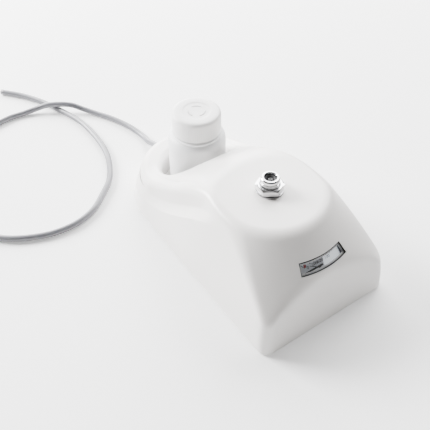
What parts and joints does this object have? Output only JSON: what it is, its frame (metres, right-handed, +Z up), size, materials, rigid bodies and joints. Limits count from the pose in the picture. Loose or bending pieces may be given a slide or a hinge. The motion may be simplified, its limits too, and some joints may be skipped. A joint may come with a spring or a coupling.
{
  "type": "dental handpiece maintenance station",
  "caption": "Countertop station for flushing dental handpieces: sloping housing with bottle well, air coupler, gauge window and a loosely laid air tube.",
  "frame": {"origin": "on the standing surface, under the centre of the housing's outline", "axes": "+Z up, front (gauge window) faces -Y, +X to the right seen from the front"},
  "size_m": [0.2718, 0.4417, 0.091],
  "materials": {
    "shell_plastic": "satin moulded, warm white",
    "base_plastic": "matt moulded grey",
    "rubber": "matt",
    "steel": "zinc plated",
    "chrome": "polished plating",
    "brass": "machined",
    "black_plastic": "fine moulded",
    "bottle_plastic": "frosted translucent",
    "cap_plastic": "satin white",
    "liner_foam": "closed-cell foam",
    "clear_plastic": "clear polished",
    "dial_paint": "silver-white printed dial",
    "tube_plastic": "smooth flexible grey tube"
  },
  "bodies": {
    "station": {"housing": "shell_plastic", "base_plate": "base_plastic", "foot_front_left": "rubber", "foot_front_right": "rubber", "foot_rear_left": "rubber", "foot_rear_right": "rubber", "base_screw_front_left": "steel", "base_screw_front_right": "steel", "base_screw_rear_left": "steel", "base_screw_rear_right": "steel", "coupler_body": "chrome", "coupler_nut": "chrome", "coupler_washer": "steel", "coupler_seat": "rubber", "valve_spring": "steel", "valve_body": "brass", "gauge_case": "black_plastic", "gauge_dial": "dial_paint", "gauge_lens": "clear_plastic", "bourdon_tube": "brass", "gauge_screw_left": "steel", "gauge_screw_right": "steel", "regulator_body": "brass", "supply_line": "tube_plastic", "valve_line": "tube_plastic", "gauge_line": "tube_plastic", "tube_gland": "rubber", "supply_tube": "tube_plastic"},
    "bottle": {"bottle_body": "bottle_plastic"},
    "liner": {"cap_liner": "liner_foam"},
    "cap": {"bottle_cap": "cap_plastic"},
    "plunger": {"valve_plunger": "black_plastic"},
    "sector": {"sector_gear": "brass"},
    "pointer": {"gauge_pointer": "black_plastic"},
    "knob": {"regulator_knob": "black_plastic"}
  },
  "joints": [
    {"name": "bottle_lift", "type": "slide", "parent": "station", "child": "bottle", "axis": [0, 0, 1], "range_m": [0, 0.09]},
    {"name": "cap_turn", "type": "hinge", "parent": "liner", "child": "cap", "pos_m": [0, 0.0635, 0.08], "axis": [0, 0, 1], "range_deg": [0, 541]},
    {"name": "cap_rise", "type": "slide", "parent": "bottle", "child": "liner", "axis": [0, 0, 1], "range_m": [0, 0.006]},
    {"name": "plunger_press", "type": "slide", "parent": "station", "child": "plunger", "axis": [0, 0, -1], "range_m": [0, 0.0025], "stiffness_N_per_m": 800, "springref_m": -0.002, "deforming": ["valve_spring"]},
    {"name": "sector_swing", "type": "hinge", "parent": "station", "child": "sector", "pos_m": [0.00811, -0.0944, 0.04871], "axis": [0, -0.6828, 0.7306], "range_deg": [0, 24]},
    {"name": "pointer_turn", "type": "hinge", "parent": "station", "child": "pointer", "pos_m": [0, -0.10203, 0.04856], "axis": [0, -0.6828, 0.7306], "range_deg": [-120, 0]},
    {"name": "regulator_turn", "type": "hinge", "parent": "station", "child": "knob", "pos_m": [-0.024, -0.058, 0.006], "axis": [0, 0, -1], "range_deg": [0, 720]}
  ],
  "couplings": [
    {"joint": "cap_turn", "follows": "cap_rise", "rad_per_m": 1570.8},
    {"joint": "pointer_turn", "follows": "sector_swing", "ratio": -5}
  ]
}
